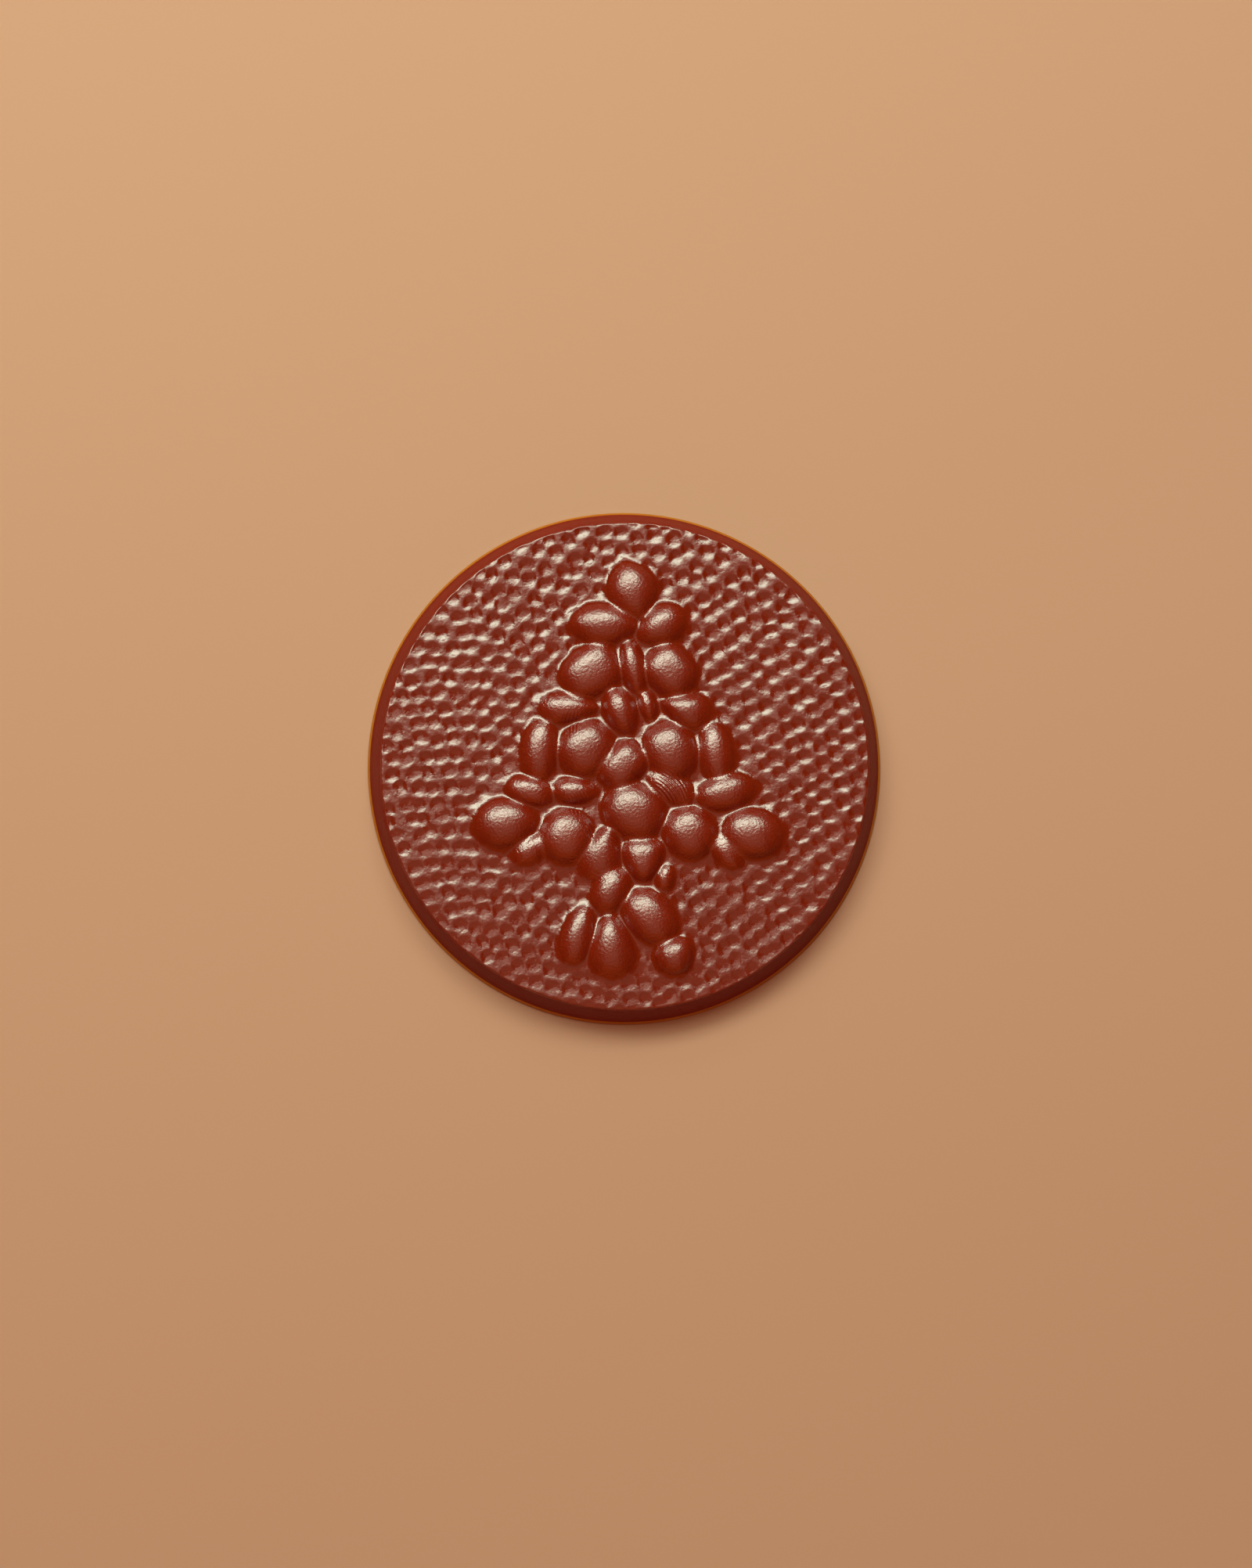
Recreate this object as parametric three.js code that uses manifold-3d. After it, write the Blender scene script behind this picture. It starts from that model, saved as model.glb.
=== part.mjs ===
// Christmas tree cookie: a round moulded cookie of milk chocolate. A Christmas tree made of smooth,
// bean shaped drops stands on its hammered face, and its side tapers up from a thin lip at the foot.
// Millimetres. The flat back lies on z = 0 with the middle of the disc at the origin, +Z is up, and
// the crown of the tree points to +Y. The cookie is one solid, with nothing hollow inside.
import * as THREE from "three";
import Module from "manifold-3d";

const wasm = await Module();
wasm.setup();

// Plate
const BASE_RADIUS = 37.5; // the disc is 75 mm across at its foot
const FOOT_BREAK = 0.25; // chamfer where the lip meets the flat back
const LIP_HEIGHT = 0.75;
const LIP_REACH = 0.3; // how far the lip stands out from the side
const FACE_RADIUS = 35.4;
const FACE_HEIGHT = 5.5; // top of the ridges between the dimples
const EDGE_BREAK = 0.4; // slope between the side and the face
const HEADROOM = 0.02; // the plate ends this much above the ridges
const PLATE_SEGMENTS = 84;

// Hammered face: shallow dimples in a wavy, slightly uneven honeycomb
const DIMPLE_PITCH = 2.53;
const DIMPLE_DEPTH = 0.21;
const DIMPLE_FADE = 0.25; // share by which the dimples get deeper up the tree and shallower down it
const ROW_STEP = Math.sqrt(3) / 2; // from row to row, in dimple pitches
const ROW_TURN = -0.24; // radians
const ROW_BEND = 0.0045; // the rows sink by this much times the square of x
const ROW_SPREAD = 0.0023; // and spread by this much times x and y
const WAVE_HEIGHT = 0.55;
const WAVE_SPAN = 5.2; // length of one radian of the wave
const UNEVEN = 0.95; // spread of a dimple about its place
const SCATTER_STEPS = 97; // a prime number of different places in that spread
const GRID_SPARE = 1.6; // the honeycomb is laid out wider than the face, because it is turned and bent
const BLOCK_FLOOR = -1; // the block below the dimples reaches down past the back

// Tree
const BEAN_SINK = 0.6; // how far a bean runs down below the face
const SMALL_WIDTH = 2.5; // beans whose half width is less than this are small ones
const BIG_BEAN = { segments: 16, rings: 4 };
const SMALL_BEAN = { segments: 10, rings: 3 };

// name, x, y, half length, half width, turn in degrees, taper towards the far end,
// roundness (2 is an oval, less has pointed ends, more is squarer), rise above the face
const BEANS = [
  ["crown", 1.1, 25.6, 4.4, 3.6, -72, 0.04, 1.65, 1.9],
  ["tier 1 left", -3.1, 20.6, 5.0, 3.15, -3, 0.10, 1.75, 1.9],
  ["tier 1 right", 5.3, 20.5, 3.8, 2.9, 212, 0.18, 1.9, 1.7],
  ["tier 2 left", -5.0, 13.7, 4.6, 3.7, 211, 0.12, 2.5, 1.9],
  ["tier 2 middle", 1.2, 14.3, 4.2, 1.95, -78, 0, 1.8, 1.6],
  ["tier 2 right", 6.6, 13.8, 4.1, 3.5, -43, 0.08, 2.5, 1.9],
  ["tier 3 left", -8.2, 8.4, 4.3, 2.3, 0, 0.42, 1.9, 1.5],
  ["tier 3 middle", -0.7, 8.0, 3.7, 2.35, -70, 0, 1.9, 1.8],
  ["tier 3 chip", 3.3, 8.8, 2.3, 1.3, -76, 0, 1.8, 1.0],
  ["tier 3 right", 8.9, 8.1, 3.7, 2.6, 160, 0.42, 1.9, 1.7],
  ["tier 4 far left", -12.4, 2.3, 4.6, 2.7, 85, 0, 2.1, 1.6],
  ["tier 4 left", -5.7, 2.5, 4.3, 3.95, 42, 0, 2.2, 2.0],
  ["tier 4 middle", -0.3, 0.0, 3.9, 3.0, 228, 0.05, 2.6, 1.9],
  ["tier 4 right", 6.6, 2.2, 4.4, 3.9, -57, 0, 2.2, 2.1],
  ["tier 4 far right", 13.2, 1.9, 4.6, 2.6, -82, 0, 2.0, 1.6],
  ["tier 5 far left", -13.9, -3.7, 3.5, 2.1, -14, 0, 2.3, 1.4],
  ["tier 5 left", -7.4, -3.7, 3.3, 2.05, -4, 0.1, 1.9, 1.4],
  ["tier 5 middle", 1.3, -6.6, 4.7, 4.15, -25, 0, 2.2, 2.2],
  ["tier 5 right", 6.6, -3.2, 4.0, 2.1, -30, 0, 2.2, 1.3],
  ["tier 5 far right", 14.5, -3.9, 4.4, 2.8, 13, -0.1, 2.0, 1.7],
  ["foot far left", -17.3, -8.4, 4.6, 3.75, 8, 0.15, 1.9, 2.0],
  ["foot chip left", -13.7, -12.2, 3.0, 2.0, 35, 0, 2.0, 1.1],
  ["foot left", -8.5, -10.3, 4.1, 3.9, 60, 0, 2.2, 2.1],
  ["foot middle left", -3.4, -12.7, 4.3, 2.8, 72, 0.4, 2.0, 1.6],
  ["foot middle", 2.6, -13.7, 3.3, 2.8, -90, 0.4, 2.4, 1.7],
  ["foot middle right", 9.4, -9.8, 4.0, 3.8, -50, 0, 2.2, 2.0],
  ["foot chip right", 14.7, -12.6, 3.0, 1.9, -50, 0, 2.0, 1.1],
  ["foot far right", 18.5, -9.9, 4.5, 3.7, -12, 0, 2.1, 2.0],
  ["trunk chip", 5.8, -16.3, 2.0, 1.4, 75, 0, 2.0, 0.8],
  ["trunk top", -2.1, -18.1, 3.6, 2.6, 60, 0, 2.1, 1.6],
  ["trunk right", 3.6, -22.0, 4.7, 3.45, -48, 0, 2.1, 2.0],
  ["trunk foot", 7.2, -27.6, 3.0, 2.8, 50, 0.2, 1.9, 1.7],
  ["trunk left", -6.9, -24.6, 4.5, 2.4, 74, 0.1, 2.0, 1.5],
  ["trunk middle", -2.0, -26.2, 4.7, 3.15, 95, 0.35, 2.0, 1.9],
];

// A manifold body from corner points and the triangles that join them.
function body(points, triangles) {
  const mesh = new wasm.Mesh({
    numProp: 3,
    vertProperties: Float32Array.from(points.flat()),
    triVerts: Uint32Array.from(triangles.flat()),
  });
  return new wasm.Manifold(mesh);
}

// Skin over rings of equal count that climb from the bottom to the top, closed by a fan at each end.
function skin(rings, bottom, top) {
  const count = rings[0].length;
  const points = [...rings.flat(), bottom, top];
  const [low, high] = [points.length - 2, points.length - 1];
  const last = (rings.length - 1) * count;
  const triangles = [];
  for (let k = 0; k < count; k++) {
    const next = (k + 1) % count;
    triangles.push([low, next, k], [high, last + k, last + next]);
    for (let start = 0; start < last; start += count) {
      const [a, b] = [start + k, start + next];
      triangles.push([a, b, b + count], [a, b + count, a + count]);
    }
  }
  return body(points, triangles);
}

function circle(radius, z) {
  return Array.from({ length: PLATE_SEGMENTS }, (_, k) => {
    const angle = (2 * Math.PI * k) / PLATE_SEGMENTS;
    return [radius * Math.cos(angle), radius * Math.sin(angle), z];
  });
}

// Plain tapered disc: foot chamfer, lip, side and broken edge.
function plate() {
  const top = FACE_HEIGHT + HEADROOM;
  const rings = [
    circle(BASE_RADIUS - FOOT_BREAK, 0),
    circle(BASE_RADIUS, FOOT_BREAK),
    circle(BASE_RADIUS, LIP_HEIGHT),
    circle(BASE_RADIUS - LIP_REACH, LIP_HEIGHT + LIP_REACH / 2),
    circle(FACE_RADIUS + EDGE_BREAK / 2, top - EDGE_BREAK),
    circle(FACE_RADIUS - EDGE_BREAK / 2, top),
  ];
  return skin(rings, [0, 0, 0], [0, 0, top]);
}

// A repeatable number from -0.5 to 0.5 for each place in the honeycomb, made of whole numbers.
function scatter(i, j, salt) {
  const total = (31 + 8 * salt) * i + (57 - 5 * salt) * j + 13 * i * j + 7 * salt * i * i;
  return THREE.MathUtils.euclideanModulo(total, SCATTER_STEPS) / SCATTER_STEPS - 0.5;
}

const isOdd = (j) => Math.abs(j) % 2;

// Middle of dimple i of row j, seen from above.
function dimpleMiddle(i, j) {
  const along = (i + isOdd(j) / 2) * DIMPLE_PITCH;
  const across = j * DIMPLE_PITCH * ROW_STEP;
  const level = along * Math.cos(ROW_TURN) - across * Math.sin(ROW_TURN);
  const upright = along * Math.sin(ROW_TURN) + across * Math.cos(ROW_TURN);
  const x = level + ROW_SPREAD * level * upright;
  const y = upright - ROW_BEND * level ** 2;
  return [
    x + WAVE_HEIGHT * Math.sin(y / WAVE_SPAN) + UNEVEN * scatter(i, j, 1),
    y + WAVE_HEIGHT * Math.sin(x / WAVE_SPAN) + UNEVEN * scatter(i, j, 2),
  ];
}

// Corner where three dimples meet: dimples i and i + 1 of row j with one of the row above or below.
function dimpleCorner(i, j, rowStep) {
  const three = [dimpleMiddle(i, j), dimpleMiddle(i + 1, j), dimpleMiddle(i + isOdd(j), j + rowStep)];
  return [0, 1].map((axis) => (three[0][axis] + three[1][axis] + three[2][axis]) / 3);
}

// The six corners around a dimple, counter-clockwise, each as [dimple, row, step to the third row].
function cornersAround(i, j) {
  const s = isOdd(j);
  return [[i, j, 1], [i + s - 1, j + 1, -1], [i - 1, j, 1], [i - 1, j, -1], [i + s - 1, j - 1, 1], [i, j, -1]];
}

// Block under the hammered face. It is wider and deeper than the plate, which is cut with it.
function hammeredBlock() {
  const places = new Map();
  const tops = [];
  const place = (key, [x, y], z) => {
    if (!places.has(key)) places.set(key, tops.push([x, y, z]) - 1);
    return places.get(key);
  };
  const faces = [];
  const rows = Math.ceil((FACE_RADIUS / DIMPLE_PITCH) * GRID_SPARE);
  const limit = FACE_RADIUS + 2 * DIMPLE_PITCH;
  for (let j = -rows; j <= rows; j++) {
    for (let i = -rows; i <= rows; i++) {
      const middle = dimpleMiddle(i, j);
      if (Math.hypot(...middle) > limit) continue;
      const depth = DIMPLE_DEPTH * (1 + (DIMPLE_FADE * middle[1]) / FACE_RADIUS);
      const centre = place(`middle ${i} ${j}`, middle, FACE_HEIGHT - depth);
      const ring = cornersAround(i, j).map((c) => place(`corner ${c}`, dimpleCorner(...c), FACE_HEIGHT));
      ring.forEach((corner, k) => faces.push([centre, corner, ring[(k + 1) % 6]]));
    }
  }
  return extrudeDown(tops, faces);
}

// Closed block between a surface and the same outline a little below the back.
function extrudeDown(tops, faces) {
  const count = tops.length;
  const edges = new Set(faces.flatMap(([a, b, c]) => [`${a} ${b}`, `${b} ${c}`, `${c} ${a}`]));
  const walls = [];
  for (const edge of edges) {
    const [a, b] = edge.split(" ").map(Number);
    if (!edges.has(`${b} ${a}`)) walls.push([b, a, a + count], [b, a + count, b + count]);
  }
  const floor = faces.map(([a, b, c]) => [a + count, c + count, b + count]);
  return body([...tops, ...tops.map(([x, y]) => [x, y, BLOCK_FLOOR])], [...faces, ...floor, ...walls]);
}

// Point of a unit oval of the given power, as far out as the share of the reach says.
function ovalPoint(angle, power, reach) {
  const grow = (side) => Math.sign(side) * (Math.abs(side) * reach) ** (2 / power);
  return [grow(Math.cos(angle)), grow(Math.sin(angle))];
}

// One bean: a dome on an oval outline that narrows towards its far end, or towards both ends.
function bean([, x, y, halfLength, halfWidth, turn, taper, roundness, rise]) {
  const angle = THREE.MathUtils.degToRad(turn);
  const [foot, height] = [FACE_HEIGHT - BEAN_SINK, rise + BEAN_SINK];
  const [power, pointed] = [Math.max(roundness, 2), Math.max(2 - roundness, 0)];
  const grain = halfWidth < SMALL_WIDTH ? SMALL_BEAN : BIG_BEAN;
  const rings = [];
  for (let ring = 0; ring < grain.rings; ring++) {
    const climb = (ring / grain.rings) * (Math.PI / 2);
    rings.push(Array.from({ length: grain.segments }, (_, k) => {
      const [along, across] = ovalPoint((2 * Math.PI * k) / grain.segments, power, Math.cos(climb));
      const u = halfLength * along;
      const v = halfWidth * across * (1 - taper * along - pointed * along ** 2);
      return [
        x + u * Math.cos(angle) - v * Math.sin(angle),
        y + u * Math.sin(angle) + v * Math.cos(angle),
        foot + height * Math.sin(climb),
      ];
    }));
  }
  return skin(rings, [x, y, foot], [x, y, foot + height]);
}

function geometryOf(manifold) {
  const { vertProperties, triVerts } = manifold.getMesh();
  const geometry = new THREE.BufferGeometry();
  geometry.setAttribute("position", new THREE.BufferAttribute(Float32Array.from(vertProperties), 3));
  geometry.setIndex([...triVerts]);
  geometry.computeVertexNormals();
  return geometry;
}

const cookie = BEANS.map(bean).reduce((whole, one) => whole.add(one), plate().intersect(hammeredBlock()));
const chocolate = new THREE.MeshStandardMaterial({ color: 0x6e2c1c, roughness: 0.35, metalness: 0 });
const mesh = new THREE.Mesh(geometryOf(cookie), chocolate);
mesh.name = "cookie";
const part = new THREE.Group();
part.name = "christmas_tree_cookie";
part.add(mesh);

export default part;
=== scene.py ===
# Christmas tree cookie, the looks: a round moulded cookie of milk chocolate, 75 mm across. A tree of
# smooth bean shapes stands on its hammered face. The blank disc is built as a mesh, and Geometry
# Nodes shape its face: they raise one bean after another, and hammer the dimples round the tree.
# Metres. The flat back lies on z = 0, and the crown of the tree points to +Y.
import math
import bpy
from mathutils import Matrix, Vector


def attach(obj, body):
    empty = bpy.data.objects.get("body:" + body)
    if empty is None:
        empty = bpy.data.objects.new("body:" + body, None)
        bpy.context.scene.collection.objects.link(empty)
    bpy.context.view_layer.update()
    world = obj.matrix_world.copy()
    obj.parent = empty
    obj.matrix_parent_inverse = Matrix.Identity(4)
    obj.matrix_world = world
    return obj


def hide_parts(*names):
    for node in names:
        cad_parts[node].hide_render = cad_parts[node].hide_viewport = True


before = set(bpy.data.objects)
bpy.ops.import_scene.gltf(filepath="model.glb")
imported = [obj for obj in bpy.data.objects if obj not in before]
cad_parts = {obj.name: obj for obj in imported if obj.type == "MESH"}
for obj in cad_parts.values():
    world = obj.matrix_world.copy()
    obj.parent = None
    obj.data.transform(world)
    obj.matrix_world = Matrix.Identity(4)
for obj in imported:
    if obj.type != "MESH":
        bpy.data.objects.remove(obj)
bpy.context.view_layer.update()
MM = 0.001

# ---- sizes of the cookie, in millimetres ----
BASE_RADIUS = 37.5
LIP_HEIGHT = 0.75
LIP_REACH = 0.3
FACE_RADIUS = 35.4
FACE_HEIGHT = 5.5          # top of the ridges between the dimples
EDGE_ROUND = 0.35          # radius of the edge between the side and the face
EDGE_STEPS = 4             # rings of the mesh round that edge
SIDE_STEPS = 3             # and down the straight side
FLAT_INSET = 0.2           # the face is flat up to this far inside its radius
FLAT_RADIUS = FACE_RADIUS - FLAT_INSET
DRAFT_SPARE = 0.2          # the edge takes this much of the side's slant
HOLLOW_HEIGHT = 0.2        # the straight side ends this far above the lip
HOLLOW_REACH = 0.05        # and this far inside it
LIP_RISE = 0.02            # the lip's top slopes up towards the side by this much
LIP_BREAK = 0.08           # the lip's upper edge is broken by this much
LIP_BEND = 0.3             # and gets upright this far below its top
FOOT_BREAK = 0.2           # chamfer round the back
DIMPLE_PITCH = 2.53
DIMPLE_RADIUS = 1.17
DIMPLE_DEPTH = 0.21        # on average
DIMPLE_POWER = 2.2         # 2 is a round bowl, more has a flatter bottom and steeper walls
RIDGE_SHARE = 0.50         # the rim of a dimple up to this share of its depth is dull like the ridges
DIMPLE_FADE = 0.25         # share by which the dimples get deeper up the tree and shallower down it
ROW_TURN = -0.24           # radians
ROW_BEND = 0.0045          # the rows sink by this much times the square of x
ROW_SPREAD = 0.0023        # and spread by this much times x and y
WAVE_HEIGHT = 0.55         # the rows wave by this much to each side
WAVE_SPAN = 5.2            # one radian of the wave
UNEVEN = 0.95              # range over which the middles of the dimples are scattered
DRIFT = 1.2                # how far the noise shifts the dimples' outlines
DRIFT_CLOUDS = 340.0       # scale of that noise, per metre
DEPTH_CLOUDS = 330.0       # scale of the noise that makes the dimples uneven in depth
DEPTH_SHARE = 2.0          # that noise lies round one half, so twice it lies round one
GRID_SPARE = 1.6           # the honeycomb reaches this many times as far as the face
BEAN_SINK = 0.6            # how far a bean runs down below the face
BEAN_REACH = 1.3           # a bean's taper ends at this many half lengths from its middle
NO_BEAN = -6.0             # height of the tree far from any bean
DIMPLES_FULL = -1.6        # dimples are whole where the tree is as far below the face as this
DIMPLES_GONE = -0.2        # and have faded out where it is as near as this
DOME_EDGE = 0.90           # share of the half width where the dome turns into a straight steep slope
BEAN_FILLET = 1.5          # reach of the soft fillet where beans meet each other
FOOT_FILLET = 1.5          # the same where the tree meets the face

# name, x, y, half length, half width, turn in degrees, taper towards the far end,
# roundness (2 is an oval, less has pointed ends, more is squarer), rise above the face
BEANS = [
    ("crown", 1.1, 25.6, 4.4, 3.6, -72, 0.04, 1.65, 1.9),
    ("tier 1 left", -3.1, 20.6, 5.0, 3.15, -3, 0.10, 1.75, 1.9),
    ("tier 1 right", 5.3, 20.5, 3.8, 2.9, 212, 0.18, 1.9, 1.7),
    ("tier 2 left", -5.0, 13.7, 4.6, 3.7, 211, 0.12, 2.5, 1.9),
    ("tier 2 middle", 1.2, 14.3, 4.2, 1.95, -78, 0, 1.8, 1.6),
    ("tier 2 right", 6.6, 13.8, 4.1, 3.5, -43, 0.08, 2.5, 1.9),
    ("tier 3 left", -8.2, 8.4, 4.3, 2.3, 0, 0.42, 1.9, 1.5),
    ("tier 3 middle", -0.7, 8.0, 3.7, 2.35, -70, 0, 1.9, 1.8),
    ("tier 3 chip", 3.3, 8.8, 2.3, 1.3, -76, 0, 1.8, 1.0),
    ("tier 3 right", 8.9, 8.1, 3.7, 2.6, 160, 0.42, 1.9, 1.7),
    ("tier 4 far left", -12.4, 2.3, 4.6, 2.7, 85, 0, 2.1, 1.6),
    ("tier 4 left", -5.7, 2.5, 4.3, 3.95, 42, 0, 2.2, 2.0),
    ("tier 4 middle", -0.3, 0.0, 3.9, 3.0, 228, 0.05, 2.6, 1.9),
    ("tier 4 right", 6.6, 2.2, 4.4, 3.9, -57, 0, 2.2, 2.1),
    ("tier 4 far right", 13.2, 1.9, 4.6, 2.6, -82, 0, 2.0, 1.6),
    ("tier 5 far left", -13.9, -3.7, 3.5, 2.1, -14, 0, 2.3, 1.4),
    ("tier 5 left", -7.4, -3.7, 3.3, 2.05, -4, 0.1, 1.9, 1.4),
    ("tier 5 middle", 1.3, -6.6, 4.7, 4.15, -25, 0, 2.2, 2.2),
    ("tier 5 right", 6.6, -3.2, 4.0, 2.1, -30, 0, 2.2, 1.3),
    ("tier 5 far right", 14.5, -3.9, 4.4, 2.8, 13, -0.1, 2.0, 1.7),
    ("foot far left", -17.3, -8.4, 4.6, 3.75, 8, 0.15, 1.9, 2.0),
    ("foot chip left", -13.7, -12.2, 3.0, 2.0, 35, 0, 2.0, 1.1),
    ("foot left", -8.5, -10.3, 4.1, 3.9, 60, 0, 2.2, 2.1),
    ("foot middle left", -3.4, -12.7, 4.3, 2.8, 72, 0.4, 2.0, 1.6),
    ("foot middle", 2.6, -13.7, 3.3, 2.8, -90, 0.4, 2.4, 1.7),
    ("foot middle right", 9.4, -9.8, 4.0, 3.8, -50, 0, 2.2, 2.0),
    ("foot chip right", 14.7, -12.6, 3.0, 1.9, -50, 0, 2.0, 1.1),
    ("foot far right", 18.5, -9.9, 4.5, 3.7, -12, 0, 2.1, 2.0),
    ("trunk chip", 5.8, -16.3, 2.0, 1.4, 75, 0, 2.0, 0.8),
    ("trunk top", -2.1, -18.1, 3.6, 2.6, 60, 0, 2.1, 1.6),
    ("trunk right", 3.6, -22.0, 4.7, 3.45, -48, 0, 2.1, 2.0),
    ("trunk foot", 7.2, -27.6, 3.0, 2.8, 50, 0.2, 1.9, 1.7),
    ("trunk left", -6.9, -24.6, 4.5, 2.4, 74, 0.1, 2.0, 1.5),
    ("trunk middle", -2.0, -26.2, 4.7, 3.15, 95, 0.35, 2.0, 1.9),
]

FACE_FINISH_FROM = 0.05    # share of the relief where the face's own finish starts
TREE_FINISH_FROM = 0.3     # height above the face where the tree's own finish starts
MELTING = 2                # rounds of smoothing over the relief
FACE_CELLS = 284           # cells across the face of the blank


# ---- small helpers for node trees ----
def put(tree, kind, settings=None, **sockets):
    """Adds a node. Sockets are set by name, with a value or with another node's output."""
    node = tree.nodes.new(kind)
    for key, value in (settings or {}).items():
        setattr(node, key, value)
    for name, value in sockets.items():
        feed(tree, node.inputs[name.replace("_", " ")], value)
    return node


def feed(tree, socket, value):
    if isinstance(value, bpy.types.NodeSocket):
        tree.links.new(value, socket)
    else:
        socket.default_value = value


def calc(tree, operation, *values):
    """One step of arithmetic on numbers and outputs."""
    node = put(tree, "ShaderNodeMath", {"operation": operation})
    for socket, value in zip(node.inputs, values):
        feed(tree, socket, value)
    return node.outputs[0]


def named_input(tree, name, kind, value=None):
    socket = tree.interface.new_socket(name, in_out="INPUT", socket_type=kind)
    if value is not None:
        socket.default_value = value
    return socket


def shape_tree(name):
    """An empty Geometry Nodes tree with one geometry in and one geometry out."""
    tree = bpy.data.node_groups.new(name, "GeometryNodeTree")
    tree.interface.new_socket("Geometry", in_out="INPUT", socket_type="NodeSocketGeometry")
    tree.interface.new_socket("Geometry", in_out="OUTPUT", socket_type="NodeSocketGeometry")
    return tree


def plan_view(tree):
    """x and y of the point that is being worked on, in millimetres."""
    place = tree.nodes.new("GeometryNodeInputPosition").outputs[0]
    apart = put(tree, "ShaderNodeSeparateXYZ", Vector=place).outputs
    return [calc(tree, "MULTIPLY", apart[axis], 1 / MM) for axis in (0, 1)]


def read(tree, name):
    node = put(tree, "GeometryNodeInputNamedAttribute", {"data_type": "FLOAT"}, Name=name)
    return node.outputs["Attribute"]


def store(tree, geometry, name, value):
    node = put(tree, "GeometryNodeStoreNamedAttribute", {"data_type": "FLOAT", "domain": "POINT"},
               Geometry=geometry, Name=name, Value=value)
    return node.outputs[0]


def turned(tree, x, y, angle):
    """x and y turned to the left by an angle in radians."""
    cosine, sine = calc(tree, "COSINE", angle), calc(tree, "SINE", angle)
    new_x = calc(tree, "SUBTRACT", calc(tree, "MULTIPLY", x, cosine), calc(tree, "MULTIPLY", y, sine))
    new_y = calc(tree, "ADD", calc(tree, "MULTIPLY", x, sine), calc(tree, "MULTIPLY", y, cosine))
    return new_x, new_y


# ---- the honeycomb of dimples ----
SCATTER_STEPS = 97         # a prime number, so that the numbers below give no pattern
ROW_STEP, ROW_SALT = 31, 8
COLUMN_STEP, COLUMN_SALT = 57, -5
BOTH_STEP, SQUARE_STEP = 13, 7


def scatter(tree, i, j, salt):
    """A repeatable number from -0.5 to 0.5 for each place in the honeycomb, made of whole numbers."""
    total = calc(tree, "ADD", calc(tree, "MULTIPLY", i, ROW_STEP + ROW_SALT * salt),
                 calc(tree, "MULTIPLY", j, COLUMN_STEP + COLUMN_SALT * salt))
    both = calc(tree, "MULTIPLY", i, j)
    total = calc(tree, "ADD", total, calc(tree, "MULTIPLY", both, BOTH_STEP))
    square = calc(tree, "MULTIPLY", i, i)
    total = calc(tree, "ADD", total, calc(tree, "MULTIPLY", square, SQUARE_STEP * salt))
    left = calc(tree, "FLOORED_MODULO", total, SCATTER_STEPS)
    return calc(tree, "SUBTRACT", calc(tree, "DIVIDE", left, SCATTER_STEPS), 0.5)


def honeycomb_tree():
    """Points at the middles of the dimples: a honeycomb whose rows wave and whose dimples wander."""
    tree = shape_tree("dimple_middles")
    for name, value in (("Pitch", DIMPLE_PITCH), ("Row turn", ROW_TURN), ("Wave height", WAVE_HEIGHT),
                        ("Row bend", ROW_BEND), ("Row spread", ROW_SPREAD), ("Wave span", WAVE_SPAN),
                        ("Unevenness", UNEVEN)):
        named_input(tree, name, "NodeSocketFloat", value)
    given = tree.nodes.new("NodeGroupInput").outputs
    half = math.ceil(FACE_RADIUS / DIMPLE_PITCH * GRID_SPARE)
    count = 2 * half + 1
    grid = put(tree, "GeometryNodeMeshGrid", Vertices_X=count, Vertices_Y=count).outputs["Mesh"]
    index = tree.nodes.new("GeometryNodeInputIndex").outputs[0]
    i = calc(tree, "SUBTRACT", calc(tree, "FLOORED_MODULO", index, count), half)
    j = calc(tree, "SUBTRACT", calc(tree, "FLOOR", calc(tree, "DIVIDE", index, count)), half)
    shift = calc(tree, "DIVIDE", calc(tree, "FLOORED_MODULO", j, 2), 2)
    along = calc(tree, "MULTIPLY", calc(tree, "ADD", i, shift), given["Pitch"])
    across = calc(tree, "MULTIPLY", calc(tree, "MULTIPLY", j, given["Pitch"]), math.sqrt(3) / 2)
    x, y = turned(tree, along, across, given["Row turn"])
    spread = calc(tree, "MULTIPLY", calc(tree, "MULTIPLY", x, y), given["Row spread"])
    sunk = calc(tree, "MULTIPLY", calc(tree, "MULTIPLY", x, x), given["Row bend"])
    x, y = calc(tree, "ADD", x, spread), calc(tree, "SUBTRACT", y, sunk)
    places = []
    for own, other, salt in ((x, y, 1), (y, x, 2)):
        wave = calc(tree, "SINE", calc(tree, "DIVIDE", other, given["Wave span"]))
        moved = calc(tree, "MULTIPLY_ADD", wave, given["Wave height"], own)
        moved = calc(tree, "MULTIPLY_ADD", scatter(tree, i, j, salt), given["Unevenness"], moved)
        places.append(calc(tree, "MULTIPLY", moved, MM))
    spot = put(tree, "ShaderNodeCombineXYZ", X=places[0], Y=places[1]).outputs[0]
    placed = put(tree, "GeometryNodeSetPosition", Geometry=grid, Position=spot).outputs[0]
    out = tree.nodes.new("NodeGroupOutput")
    tree.links.new(placed, out.inputs[0])
    return tree


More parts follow.
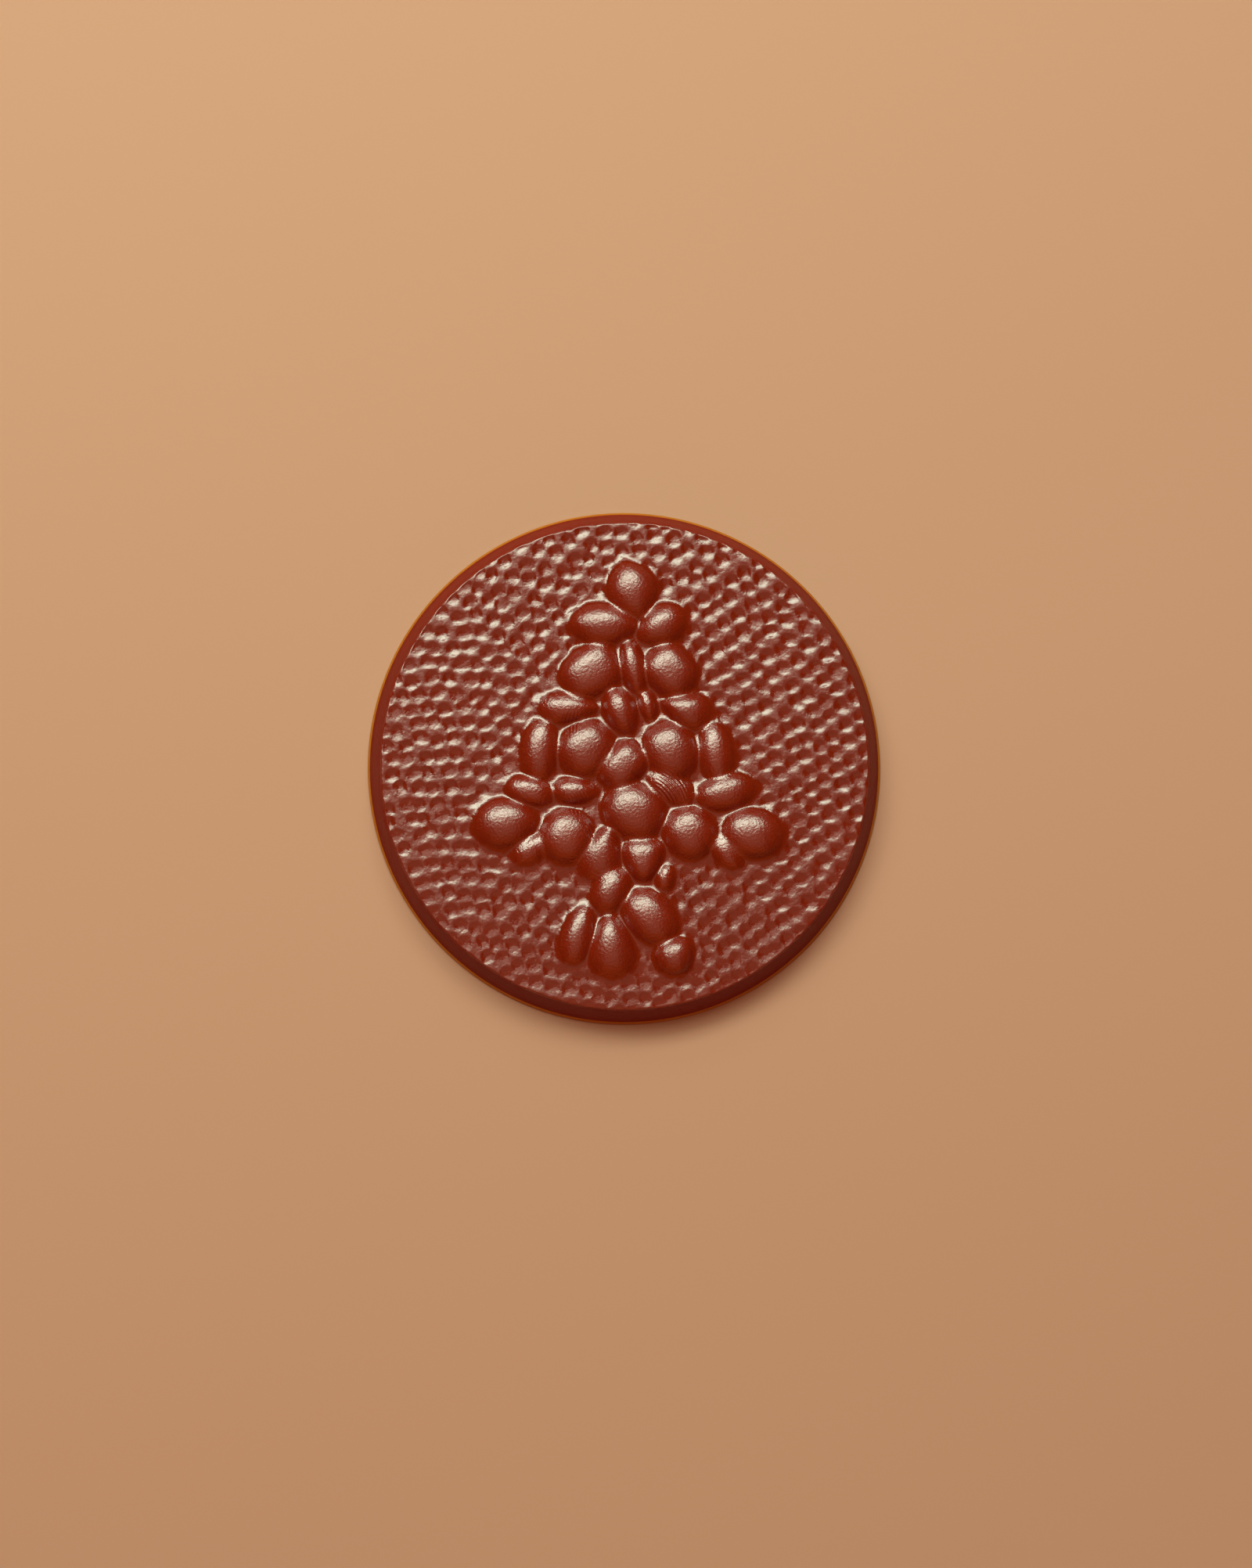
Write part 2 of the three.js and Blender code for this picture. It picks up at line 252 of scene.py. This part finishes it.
def bean_tree():
    """Raises one bean: the height of its dome is joined to the height so far with a soft fillet."""
    tree = shape_tree("raise_bean")
    for name in ("X", "Y", "Half length", "Half width", "Turn", "Taper", "Roundness", "Rise", "Fillet"):
        named_input(tree, name, "NodeSocketFloat", 0.0)
    given = tree.nodes.new("NodeGroupInput").outputs
    x, y = plan_view(tree)
    dx, dy = calc(tree, "SUBTRACT", x, given["X"]), calc(tree, "SUBTRACT", y, given["Y"])
    along, across = turned(tree, dx, dy, calc(tree, "MULTIPLY", given["Turn"], -1))
    u = calc(tree, "DIVIDE", along, given["Half length"])
    held = calc(tree, "MAXIMUM", calc(tree, "MINIMUM", u, BEAN_REACH), -BEAN_REACH)
    narrowing = calc(tree, "SUBTRACT", 1, calc(tree, "MULTIPLY", held, given["Taper"]))
    pointed = calc(tree, "MAXIMUM", calc(tree, "SUBTRACT", 2, given["Roundness"]), 0)
    squared = calc(tree, "MULTIPLY", held, held)
    narrowing = calc(tree, "SUBTRACT", narrowing, calc(tree, "MULTIPLY", squared, pointed))
    v = calc(tree, "DIVIDE", across, calc(tree, "MULTIPLY", given["Half width"], narrowing))
    power = calc(tree, "MAXIMUM", given["Roundness"], 2)
    lengthwise = calc(tree, "POWER", calc(tree, "ABSOLUTE", u), power)
    crosswise = calc(tree, "POWER", calc(tree, "ABSOLUTE", v), power)
    reach = calc(tree, "SQRT", calc(tree, "ADD", lengthwise, crosswise))
    # a dome near the middle, and a straight steep slope from DOME_EDGE outwards
    domed = calc(tree, "POWER", calc(tree, "MINIMUM", reach, DOME_EDGE), 2)
    dome = calc(tree, "SQRT", calc(tree, "SUBTRACT", 1, domed))
    slope = DOME_EDGE / math.sqrt(1 - DOME_EDGE ** 2)
    beyond = calc(tree, "MAXIMUM", calc(tree, "SUBTRACT", reach, DOME_EDGE), 0)
    profile = calc(tree, "SUBTRACT", dome, calc(tree, "MULTIPLY", beyond, slope))
    high = calc(tree, "ADD", given["Rise"], BEAN_SINK)
    top = calc(tree, "SUBTRACT", calc(tree, "MULTIPLY", profile, high), BEAN_SINK)
    top = calc(tree, "MAXIMUM", top, NO_BEAN)
    joined = calc(tree, "SMOOTH_MAX", read(tree, "tree height"), top, given["Fillet"])
    geometry = store(tree, given["Geometry"], "tree height", joined)
    out = tree.nodes.new("NodeGroupOutput")
    tree.links.new(geometry, out.inputs[0])
    return tree


def drifted(tree, place):
    """Shifts a place by a soft noise, so that the dimples come out uneven in shape."""
    noise = put(tree, "ShaderNodeTexNoise", Vector=place, Scale=DRIFT_CLOUDS, Detail=2.0).outputs["Color"]
    centred = put(tree, "ShaderNodeVectorMath", {"operation": "SUBTRACT"})
    feed(tree, centred.inputs[0], noise)
    centred.inputs[1].default_value = (0.5, 0.5, 0.5)
    shift = put(tree, "ShaderNodeVectorMath", {"operation": "MULTIPLY"})
    feed(tree, shift.inputs[0], centred.outputs[0])
    shift.inputs[1].default_value = (DRIFT * MM, DRIFT * MM, 0)
    moved = put(tree, "ShaderNodeVectorMath", {"operation": "ADD"})
    feed(tree, moved.inputs[0], place)
    feed(tree, moved.inputs[1], shift.outputs[0])
    return moved.outputs[0]


def relief_tree(middles, raise_bean):
    """Hammers the face of the blank and raises the beans on it."""
    tree = shape_tree("cookie_relief")
    named_input(tree, "Dimple depth", "NodeSocketFloat", DIMPLE_DEPTH)
    named_input(tree, "Dimple pitch", "NodeSocketFloat", DIMPLE_PITCH)
    named_input(tree, "Bean fillet", "NodeSocketFloat", BEAN_FILLET)
    named_input(tree, "Foot fillet", "NodeSocketFloat", FOOT_FILLET)
    named_input(tree, "Melting", "NodeSocketInt", MELTING)
    named_input(tree, "Face finish", "NodeSocketMaterial")
    named_input(tree, "Side finish", "NodeSocketMaterial")
    named_input(tree, "Tree finish", "NodeSocketMaterial")
    given = tree.nodes.new("NodeGroupInput").outputs
    x, y = plan_view(tree)
    flat = put(tree, "ShaderNodeCombineXYZ", X=calc(tree, "MULTIPLY", x, MM),
               Y=calc(tree, "MULTIPLY", y, MM)).outputs[0]
    spots = put(tree, "GeometryNodeGroup", {"node_tree": middles}, Pitch=given["Dimple pitch"]).outputs[0]
    near = put(tree, "GeometryNodeProximity", {"target_element": "POINTS"}, Target=spots)
    feed(tree, near.inputs["Sample Position"], drifted(tree, flat))
    away = calc(tree, "DIVIDE", near.outputs["Distance"], DIMPLE_RADIUS * MM)
    bowl = calc(tree, "SUBTRACT", 1, calc(tree, "MINIMUM", calc(tree, "POWER", away, DIMPLE_POWER), 1))
    patchy = put(tree, "ShaderNodeTexNoise", Vector=flat, Scale=DEPTH_CLOUDS, Detail=1.0).outputs["Fac"]
    depth = calc(tree, "MULTIPLY", given["Dimple depth"], calc(tree, "MULTIPLY", patchy, DEPTH_SHARE))
    towards_top = calc(tree, "MULTIPLY_ADD", y, DIMPLE_FADE / FACE_RADIUS, 1)
    depth = calc(tree, "MULTIPLY", depth, towards_top)
    hammered = calc(tree, "MULTIPLY", calc(tree, "MULTIPLY", bowl, depth), -1)
    geometry = store(tree, given["Geometry"], "tree height", NO_BEAN)
    for name, px, py, length, width, turn, taper, roundness, rise in BEANS:
        node = put(tree, "GeometryNodeGroup", {"node_tree": raise_bean, "label": name}, Geometry=geometry,
                   X=px, Y=py, Half_length=length, Half_width=width, Turn=math.radians(turn), Taper=taper,
                   Roundness=roundness, Rise=rise, Fillet=given["Bean fillet"])
        geometry = node.outputs[0]
    beside_tree = put(tree, "ShaderNodeMapRange", Value=read(tree, "tree height"), From_Min=DIMPLES_FULL,
                      From_Max=DIMPLES_GONE, To_Min=1.0, To_Max=0.0).outputs[0]
    field = calc(tree, "MULTIPLY", hammered, beside_tree)
    ridge = put(tree, "ShaderNodeMapRange", Value=bowl, From_Min=0.0, From_Max=RIDGE_SHARE,
                To_Min=1.0, To_Max=0.0).outputs[0]
    geometry = store(tree, geometry, "ridge share", calc(tree, "MULTIPLY", ridge, beside_tree))
    height = calc(tree, "SMOOTH_MAX", field, read(tree, "tree height"), given["Foot fillet"])
    melted = put(tree, "GeometryNodeBlurAttribute", {"data_type": "FLOAT"}, Iterations=given["Melting"])
    feed(tree, melted.inputs["Value"], height)
    lift = calc(tree, "MULTIPLY", calc(tree, "MULTIPLY", melted.outputs[0], read(tree, "face share")), MM)
    moved = put(tree, "GeometryNodeSetPosition", Geometry=geometry,
                Offset=put(tree, "ShaderNodeCombineXYZ", Z=lift).outputs[0]).outputs[0]
    real = put(tree, "GeometryNodeRealizeInstances", Geometry=moved).outputs[0]
    coated = put(tree, "GeometryNodeSetMaterial", Geometry=real, Material=given["Side finish"]).outputs[0]
    on_face = calc(tree, "GREATER_THAN", read(tree, "face share"), FACE_FINISH_FROM)
    coated = put(tree, "GeometryNodeSetMaterial", Geometry=coated, Selection=on_face,
                 Material=given["Face finish"]).outputs[0]
    on_tree = calc(tree, "GREATER_THAN", read(tree, "tree height"), TREE_FINISH_FROM)
    done = put(tree, "GeometryNodeSetMaterial", Geometry=coated, Selection=on_tree,
               Material=given["Tree finish"]).outputs[0]
    out = tree.nodes.new("NodeGroupOutput")
    tree.links.new(done, out.inputs[0])
    return tree


# ---- the blank disc ----
def side_profile():
    """Radius, height and share of the relief for each ring from the face down to the back."""
    draft = math.atan2(BASE_RADIUS - LIP_REACH - FACE_RADIUS - DRAFT_SPARE, FACE_HEIGHT - LIP_HEIGHT)
    rings = []
    for step in range(1, EDGE_STEPS + 1):
        share = step / EDGE_STEPS
        angle = math.pi / 2 - (math.pi / 2 - draft) * share
        rings.append((FLAT_RADIUS + EDGE_ROUND * math.cos(angle),
                      FACE_HEIGHT - EDGE_ROUND * (1 - math.sin(angle)), 1 - share))
    top_radius, top_height = rings[-1][:2]
    foot_radius, foot_height = BASE_RADIUS - LIP_REACH - HOLLOW_REACH, LIP_HEIGHT + HOLLOW_HEIGHT
    for step in range(1, SIDE_STEPS + 1):
        share = step / SIDE_STEPS
        rings.append((top_radius + (foot_radius - top_radius) * share,
                      top_height + (foot_height - top_height) * share, 0))
    rings.append((BASE_RADIUS - LIP_REACH + LIP_BREAK, LIP_HEIGHT + LIP_RISE, 0))
    rings.append((BASE_RADIUS - LIP_BREAK, LIP_HEIGHT - LIP_BREAK, 0))
    rings.append((BASE_RADIUS, LIP_HEIGHT - LIP_BEND, 0))
    rings.append((BASE_RADIUS, FOOT_BREAK, 0))
    rings.append((BASE_RADIUS - FOOT_BREAK, 0.0, 0))
    return rings


def disc_point(a, b):
    """Place on the unit disc of a point of the square from -1 to 1, with rings kept round."""
    if a == 0 and b == 0:
        return 0.0, 0.0
    if abs(a) > abs(b):
        radius, angle = a, math.pi / 4 * b / a
    else:
        radius, angle = b, math.pi / 2 - math.pi / 4 * a / b
    return radius * math.cos(angle), radius * math.sin(angle)


def blank_disc():
    """Closed mesh of the plain disc. Its face is a fine grid that the relief is raised from."""
    cells = FACE_CELLS
    points, shares, faces = [], [], []
    for row in range(cells + 1):
        for column in range(cells + 1):
            x, y = disc_point(2 * column / cells - 1, 2 * row / cells - 1)
            points.append((x * FLAT_RADIUS, y * FLAT_RADIUS, FACE_HEIGHT))
            shares.append(1.0)
    wide = cells + 1
    for row in range(cells):
        for column in range(cells):
            a = row * wide + column
            faces.append((a, a + 1, a + wide + 1, a + wide))
    rim = list(range(cells))
    rim += [cells + row * wide for row in range(cells)]
    rim += [cells * wide + cells - column for column in range(cells)]
    rim += [(cells - row) * wide for row in range(cells)]
    inner = rim
    for radius, height, share in side_profile():
        ring = []
        for k in rim:
            x, y = points[k][0] / FLAT_RADIUS, points[k][1] / FLAT_RADIUS
            ring.append(len(points))
            points.append((x * radius, y * radius, height))
            shares.append(share)
        for k in range(len(rim)):
            after = (k + 1) % len(rim)
            faces.append((inner[k], ring[k], ring[after], inner[after]))
        inner = ring
    points.append((0, 0, 0))
    shares.append(0.0)
    for k in range(len(rim)):
        faces.append((inner[(k + 1) % len(rim)], inner[k], len(points) - 1))
    mesh = bpy.data.meshes.new("blank_disc")
    mesh.from_pydata([[c * MM for c in p] for p in points], [], faces)
    mesh.attributes.new("face share", "FLOAT", "POINT").data.foreach_set("value", shares)
    mesh.update()
    return mesh


# ---- chocolate ----
# Each finish has a gloss, its lightest and darkest colour, and its smoothest and roughest grain.
FACE_GLOSS = 0.72          # strength of the mirror in the moulded face
FACE_COLOURS = (0.19, 0.0115, 0.0018, 1), (0.155, 0.0085, 0.0010, 1)
FACE_GRAIN = 0.11, 0.17
RIDGE_DULLER = 0.18        # the ridges between the dimples are rougher by this much
TREE_GLOSS = 1.0
TREE_COLOURS = (0.22, 0.0110, 0.0003, 1), (0.17, 0.0070, 0.0002, 1)
TREE_GRAIN = 0.14, 0.20
TOP_DULLER = 0.12          # the tops of the beans are rougher by this much
TOP_FROM, TOP_TO = 0.3, 1.4           # millimetres above the face between which that sets in
SIDE_GLOSS = 0.12          # the side and the back left the mould duller
# the side's colours are the chocolate's own, made a lighter red than the face's as painted light, since the
# side gets little light
SIDE_COLOURS = (0.205, 0.009, 0.001, 1), (0.17, 0.006, 0.0005, 1)
SIDE_GRAIN = 0.45, 0.55
CHOCOLATE_IOR = 1.6
SOFTNESS = 0.25            # share of the light that goes a little way into the chocolate
SOFT_REACH = (0.0022, 0.0006, 0.0003)  # metres, for red, green and blue
CLOUD_SCALE = 160.0        # noise scales, per metre: the clouds in the colour
GRAIN_SCALE = 2600.0       # the grain
FACE_CRINKLES = 1500.0     # the crinkles of the face
SIDE_CRINKLES = 1300.0     # and of the side
CRINKLE_DEPTH = 0.12
CUP_CRINKLE = 0.6          # share of the crinkles that stays inside the dimples
FACE_BUMP, TREE_BUMP, SIDE_BUMP = 0.85, 0.7, 0.5    # strength of the crinkles or the grain
# patches of fine scratches on and between the beans: x, y, reach, and direction of the lines in degrees
SCRATCHES = [
    (6.9, -3.2, 2.8, -50),
    (-8.2, 6.2, 1.9, 82),
    (-6.6, -5.5, 2.1, -65),
    (-4.7, -9.8, 1.7, -62),
    (-1.5, -10.9, 1.6, -38),
    (-12.4, -6.4, 1.3, 88),
]
SCRATCH_PITCH = 0.50
SCRATCH_CORE = 0.5         # share of a patch's reach where its scratches are whole
SCRATCH_BOW = 0.08         # the lines bend by this much times the square of the way along them
SCRATCH_SHARE = 0.55       # height of the scratches as a share of the crinkle depth
PAINTED_GLOW = (0.43, 0.140, 0.011, 1)       # painted glow: this colour stands in for light shining through the thin edge at the foot of the side
GLOW_FROM, GLOW_TO = 0.35, 0.25     # the painted glow starts between these distances from the rim


def distance_from_axis(tree, place):
    apart = put(tree, "ShaderNodeSeparateXYZ", Vector=place).outputs
    squares = [calc(tree, "POWER", apart[axis], 2) for axis in (0, 1)]
    return calc(tree, "SQRT", calc(tree, "ADD", *squares))


def chocolate(name, gloss_level, colours, grain_range):
    """Milk chocolate with cloudy colour and a fine grain. Gives the finish, its colour and its roughness."""
    lightest, darkest = colours
    smoothest, roughest = grain_range
    finish = bpy.data.materials.new(name)
    finish.use_nodes = True
    tree = finish.node_tree
    shader = tree.nodes["Principled BSDF"]
    shader.inputs["IOR"].default_value = CHOCOLATE_IOR
    shader.inputs["Specular IOR Level"].default_value = gloss_level
    shader.inputs["Subsurface Weight"].default_value = SOFTNESS
    shader.inputs["Subsurface Radius"].default_value = SOFT_REACH
    shader.inputs["Subsurface Scale"].default_value = 1.0
    place = tree.nodes.new("ShaderNodeTexCoord").outputs["Object"]
    cloud = put(tree, "ShaderNodeTexNoise", Vector=place, Scale=CLOUD_SCALE, Detail=3.0).outputs["Fac"]
    tone = put(tree, "ShaderNodeMix", {"data_type": "RGBA"})
    feed(tree, tone.inputs[0], cloud)
    feed(tree, tone.inputs[6], darkest)
    feed(tree, tone.inputs[7], lightest)
    tree.links.new(tone.outputs[2], shader.inputs["Base Color"])
    grain = put(tree, "ShaderNodeTexNoise", Vector=place, Scale=GRAIN_SCALE, Detail=2.0).outputs["Fac"]
    rough = put(tree, "ShaderNodeMapRange", Value=grain, To_Min=smoothest, To_Max=roughest).outputs[0]
    tree.links.new(rough, shader.inputs["Roughness"])
    return finish, tone.outputs[2], rough


def crinkled(tree, height, strength):
    """Lets the height of fine crinkles or scratches, as a share of their depth, tilt the surface."""
    bump = put(tree, "ShaderNodeBump", Strength=strength, Distance=CRINKLE_DEPTH * MM,
               Height=height).outputs[0]
    tree.links.new(bump, tree.nodes["Principled BSDF"].inputs["Normal"])


def scratches(tree, place):
    """Height of the patches of fine feathered scratches between the beans."""
    apart = put(tree, "ShaderNodeSeparateXYZ", Vector=place).outputs
    total = 0.0
    for x, y, reach, direction in SCRATCHES:
        dx, dy = calc(tree, "SUBTRACT", apart[0], x * MM), calc(tree, "SUBTRACT", apart[1], y * MM)
        along, across = turned(tree, dx, dy, -math.radians(direction))
        bowed = calc(tree, "MULTIPLY_ADD", calc(tree, "MULTIPLY", along, along), SCRATCH_BOW / MM, across)
        lines = calc(tree, "SINE", calc(tree, "MULTIPLY", bowed, 2 * math.pi / (SCRATCH_PITCH * MM)))
        squares = [calc(tree, "MULTIPLY", side, side) for side in (dx, dy)]
        away = calc(tree, "SQRT", calc(tree, "ADD", *squares))
        patch = put(tree, "ShaderNodeMapRange", Value=away, From_Min=SCRATCH_CORE * reach * MM,
                    From_Max=reach * MM, To_Min=SCRATCH_SHARE, To_Max=0.0).outputs[0]
        total = calc(tree, "MULTIPLY_ADD", lines, patch, total)
    return total


def face_chocolate():
    """Glossy in the dimples, and duller on the ridges between them."""
    finish, _, rough = chocolate("milk_chocolate", FACE_GLOSS, FACE_COLOURS, FACE_GRAIN)
    tree = finish.node_tree
    ridge = put(tree, "ShaderNodeAttribute", {"attribute_name": "ridge share"}).outputs["Fac"]
    duller = calc(tree, "MULTIPLY_ADD", ridge, RIDGE_DULLER, rough)
    tree.links.new(duller, tree.nodes["Principled BSDF"].inputs["Roughness"])
    place = tree.nodes.new("ShaderNodeTexCoord").outputs["Object"]
    crinkle = put(tree, "ShaderNodeTexNoise", Vector=place, Scale=FACE_CRINKLES, Detail=3.0).outputs["Fac"]
    share = calc(tree, "MULTIPLY_ADD", ridge, 1 - CUP_CRINKLE, CUP_CRINKLE)
    crinkled(tree, calc(tree, "MULTIPLY", crinkle, share), FACE_BUMP)
    return finish


def tree_chocolate():
    """A softer sheen and a slightly warmer brown on the beans, dullest on top of them."""
    finish, _, rough = chocolate("tree_chocolate", TREE_GLOSS, TREE_COLOURS, TREE_GRAIN)
    tree = finish.node_tree
    place = tree.nodes.new("ShaderNodeTexCoord").outputs["Object"]
    height = put(tree, "ShaderNodeSeparateXYZ", Vector=place).outputs["Z"]
    on_top = put(tree, "ShaderNodeMapRange", Value=height, From_Min=(FACE_HEIGHT + TOP_FROM) * MM,
                 From_Max=(FACE_HEIGHT + TOP_TO) * MM, To_Min=0.0, To_Max=TOP_DULLER).outputs[0]
    tree.links.new(calc(tree, "ADD", rough, on_top), tree.nodes["Principled BSDF"].inputs["Roughness"])
    grain = put(tree, "ShaderNodeTexNoise", Vector=place, Scale=GRAIN_SCALE, Detail=2.0).outputs["Fac"]
    crinkled(tree, calc(tree, "ADD", grain, scratches(tree, place)), TREE_BUMP)
    return finish


def side_chocolate():
    """Satin on the side and the back, with a painted amber glow round the foot, for light through its thin
    edge.
    """
    finish, tone, _ = chocolate("satin_side", SIDE_GLOSS, SIDE_COLOURS, SIDE_GRAIN)
    tree = finish.node_tree
    place = tree.nodes.new("ShaderNodeTexCoord").outputs["Object"]
    # painted glow: the colour turns amber towards the rim of the foot, standing in for light through the
    # thin edge
    glow_share = put(tree, "ShaderNodeMapRange", Value=distance_from_axis(tree, place),
              From_Min=(BASE_RADIUS - GLOW_FROM) * MM, From_Max=(BASE_RADIUS - GLOW_TO) * MM).outputs[0]
    edge = put(tree, "ShaderNodeMix", {"data_type": "RGBA"})
    feed(tree, edge.inputs[0], glow_share)
    feed(tree, edge.inputs[6], tone)
    feed(tree, edge.inputs[7], PAINTED_GLOW)
    tree.links.new(edge.outputs[2], tree.nodes["Principled BSDF"].inputs["Base Color"])
    crinkle = put(tree, "ShaderNodeTexNoise", Vector=place, Scale=SIDE_CRINKLES, Detail=4.0).outputs["Fac"]
    crinkled(tree, crinkle, SIDE_BUMP)
    return finish


def cookie_piece(face_finish, side_finish, tree_finish):
    blank = bpy.data.objects.new("blank", blank_disc())
    bpy.context.collection.objects.link(blank)
    relief = blank.modifiers.new("relief", "NODES")
    relief.node_group = relief_tree(honeycomb_tree(), bean_tree())
    finishes = {"Face finish": face_finish, "Side finish": side_finish, "Tree finish": tree_finish}
    for item in relief.node_group.interface.items_tree:
        if item.name in finishes:
            relief[item.identifier] = finishes[item.name]
    graph = bpy.context.evaluated_depsgraph_get()
    mesh = bpy.data.meshes.new_from_object(blank.evaluated_get(graph))
    mesh.name = "moulded_cookie"
    blank.modifiers.remove(relief)
    bpy.data.objects.remove(blank)
    piece = bpy.data.objects.new("moulded_cookie", mesh)
    bpy.context.collection.objects.link(piece)
    mesh.shade_smooth()
    return piece


cookie = cookie_piece(face_chocolate(), side_chocolate(), tree_chocolate())
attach(cookie, "root")
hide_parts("cookie")


# ---- floor, light and camera ----
FLOOR_HALF = 1.5                         # metres
FLOOR_COLOUR = (0.51, 0.295, 0.198, 1)
# Each lamp shines at the cookie: name, place, width and height in metres, watts, colour.
LAMPS = [
    ("window", (-0.11, 0.40, 0.49), 0.80, 0.18, 2.4, (0.84, 1.0, 0.79)),
    ("window_sill", (-0.11, 0.53, 0.33), 0.70, 0.11, 0.4, (0.84, 1.0, 0.82)),
    ("window_top", (-0.11, 0.38, 0.59), 0.80, 0.30, 3.1, (0.90, 0.97, 0.76)),
    ("overhead", (-0.20, 0.42, 1.1), 0.8, 0.8, 2.4, (1.0, 0.82, 0.64)),
    ("ceiling", (0, -0.30, 0.75), 0.80, 0.60, 0.36, (1.0, 0.78, 0.52)),
    ("fill", (0.0, -0.55, 0.30), 0.80, 0.40, 0.4, (1.0, 0.15, 0.03)),
]
ROOM_COLOUR = (1.0, 0.25, 0.055, 1)
ROOM_STRENGTH = 0.16
CAMERA_TILT = math.radians(3.63)         # away from straight above
CAMERA_LEAN = math.radians(19)           # and the way it tilts, from -Y towards -X
CAMERA_DISTANCE = 0.70
CAMERA_TARGET = (0.000265, -0.00235, 0)
HALF_FRAME = 0.11485                     # metres across half the taller side of the frame
HALF_SENSOR = 18                         # millimetres


def stage_floor():
    mesh = bpy.data.meshes.new("floor")
    half = FLOOR_HALF
    corners = [(-half, -half, 0), (half, -half, 0), (half, half, 0), (-half, half, 0)]
    mesh.from_pydata(corners, [], [(0, 1, 2, 3)])
    floor = bpy.data.objects.new("floor", mesh)
    bpy.context.collection.objects.link(floor)
    paint = bpy.data.materials.new("pale_floor")
    paint.use_nodes = True
    shader = paint.node_tree.nodes["Principled BSDF"]
    shader.inputs["Base Color"].default_value = FLOOR_COLOUR
    shader.inputs["Roughness"].default_value = 0.9
    mesh.materials.append(paint)


def soft_box(name, place, width, height, power, colour):
    lamp = bpy.data.lights.new(name, "AREA")
    lamp.shape = "RECTANGLE"
    lamp.size, lamp.size_y = width, height
    lamp.energy = power
    lamp.color = colour
    box = bpy.data.objects.new(name, lamp)
    bpy.context.collection.objects.link(box)
    aim = -Vector(place)
    box.matrix_world = Matrix.Translation(place) @ aim.to_track_quat("-Z", "Y").to_matrix().to_4x4()


def studio():
    for lamp in LAMPS:
        soft_box(*lamp)
    world = bpy.data.worlds.new("studio")
    bpy.context.scene.world = world
    world.use_nodes = True
    room = world.node_tree.nodes["Background"]
    room.inputs["Color"].default_value = ROOM_COLOUR
    room.inputs["Strength"].default_value = ROOM_STRENGTH


def camera():
    """Nearly straight above, tilted a little towards the foot of the tree."""
    sideways = math.sin(CAMERA_TILT)
    out = Vector((-sideways * math.sin(CAMERA_LEAN), -sideways * math.cos(CAMERA_LEAN),
                  math.cos(CAMERA_TILT)))
    right = Vector((1, 0, 0))
    right = (right - out * right.dot(out)).normalized()
    up = out.cross(right)
    lens = bpy.data.cameras.new("camera")
    lens.lens = HALF_SENSOR / (HALF_FRAME / CAMERA_DISTANCE)
    lens.clip_start, lens.clip_end = 0.05, 10
    view = bpy.data.objects.new("camera", lens)
    bpy.context.collection.objects.link(view)
    turn = Matrix((right, up, out)).transposed()
    place = Vector(CAMERA_TARGET) + out * CAMERA_DISTANCE
    view.matrix_world = Matrix.Translation(place) @ turn.to_4x4()
    bpy.context.scene.camera = view


stage_floor()
studio()
camera()
bpy.context.scene.view_settings.view_transform = "Standard"
bpy.context.view_layer.update()
